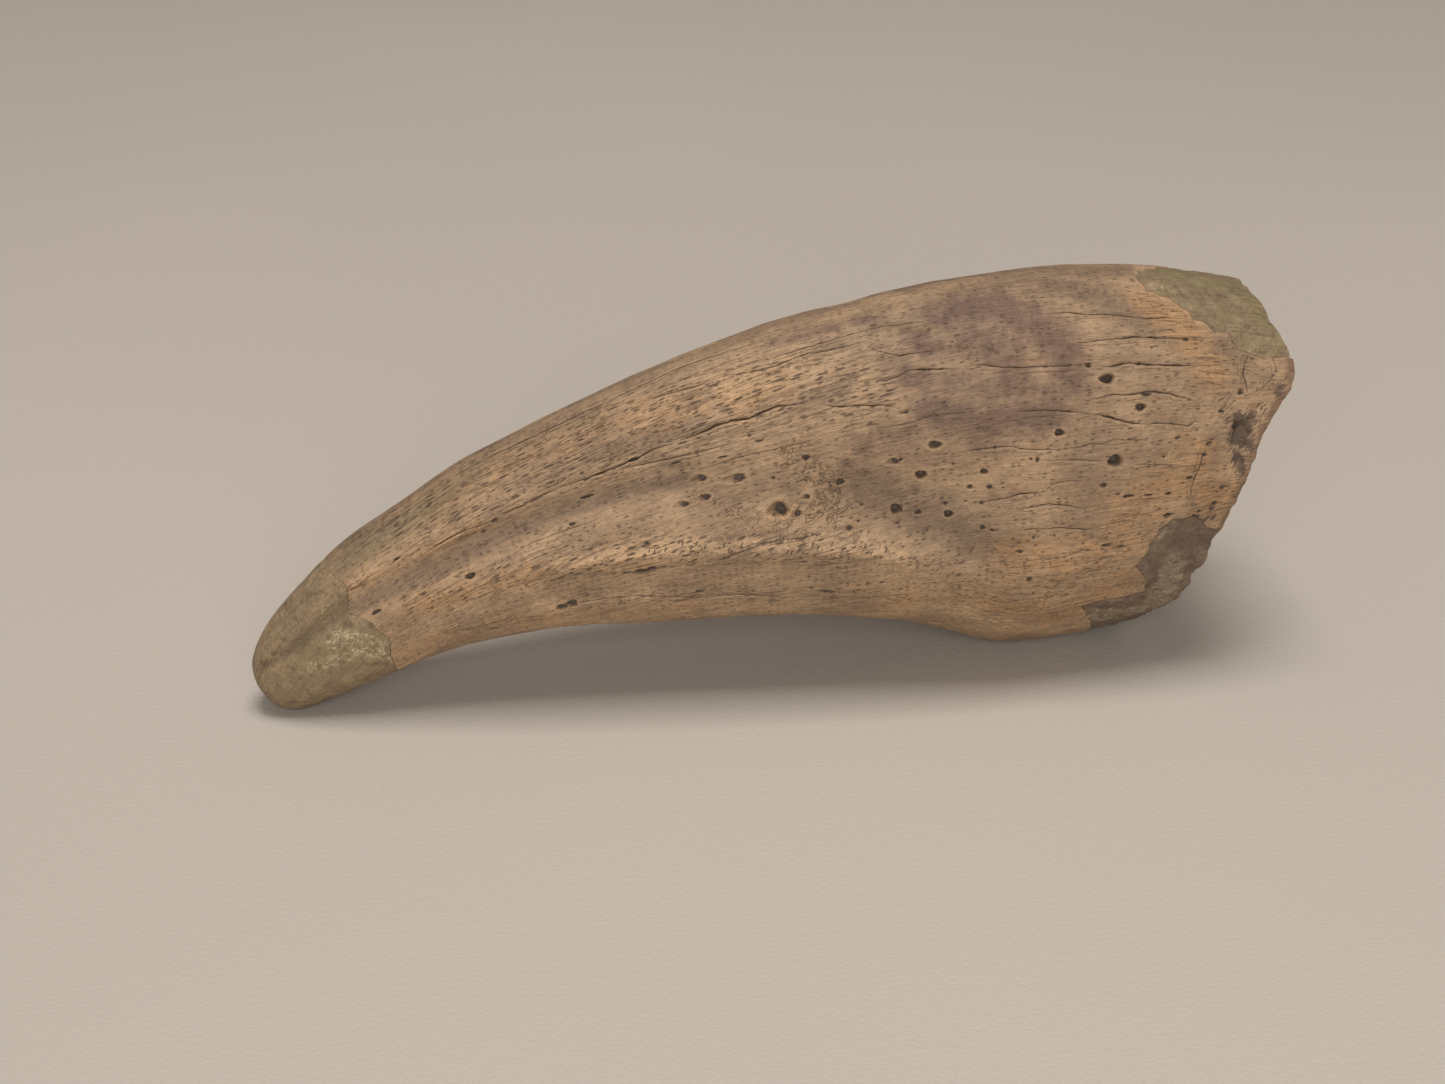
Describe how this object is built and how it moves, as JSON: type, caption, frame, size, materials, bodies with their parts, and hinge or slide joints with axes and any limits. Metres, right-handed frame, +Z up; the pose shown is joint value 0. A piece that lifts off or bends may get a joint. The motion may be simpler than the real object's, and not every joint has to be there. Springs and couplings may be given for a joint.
{
  "type": "fossil dinosaur claw",
  "caption": "Fossil theropod claw core with side grooves, vascular pores, a broken joint end and restored tip and corners, standing on its tip and base.",
  "frame": {"origin": "on the table, under the middle of the claw's bounding box", "axes": "+X from the tip towards the broken joint end, +Z up from the table, -Y towards the side with the best preserved pores"},
  "size_m": [0.1524, 0.0397, 0.0602],
  "materials": {
    "fossil_bone": "mineralised bone, matt with a faint sheen on worn ridges",
    "tip_filler": "smooth olive restoration filler, slightly satin",
    "upper_filler": "olive green restoration filler, matt",
    "lower_filler": "grey-brown restoration filler, satin"
  },
  "bodies": {
    "root": {"claw_bone": "fossil_bone", "restored_tip": "tip_filler", "restored_upper_corner": "upper_filler", "restored_lower_corner": "lower_filler"}
  },
  "joints": []
}
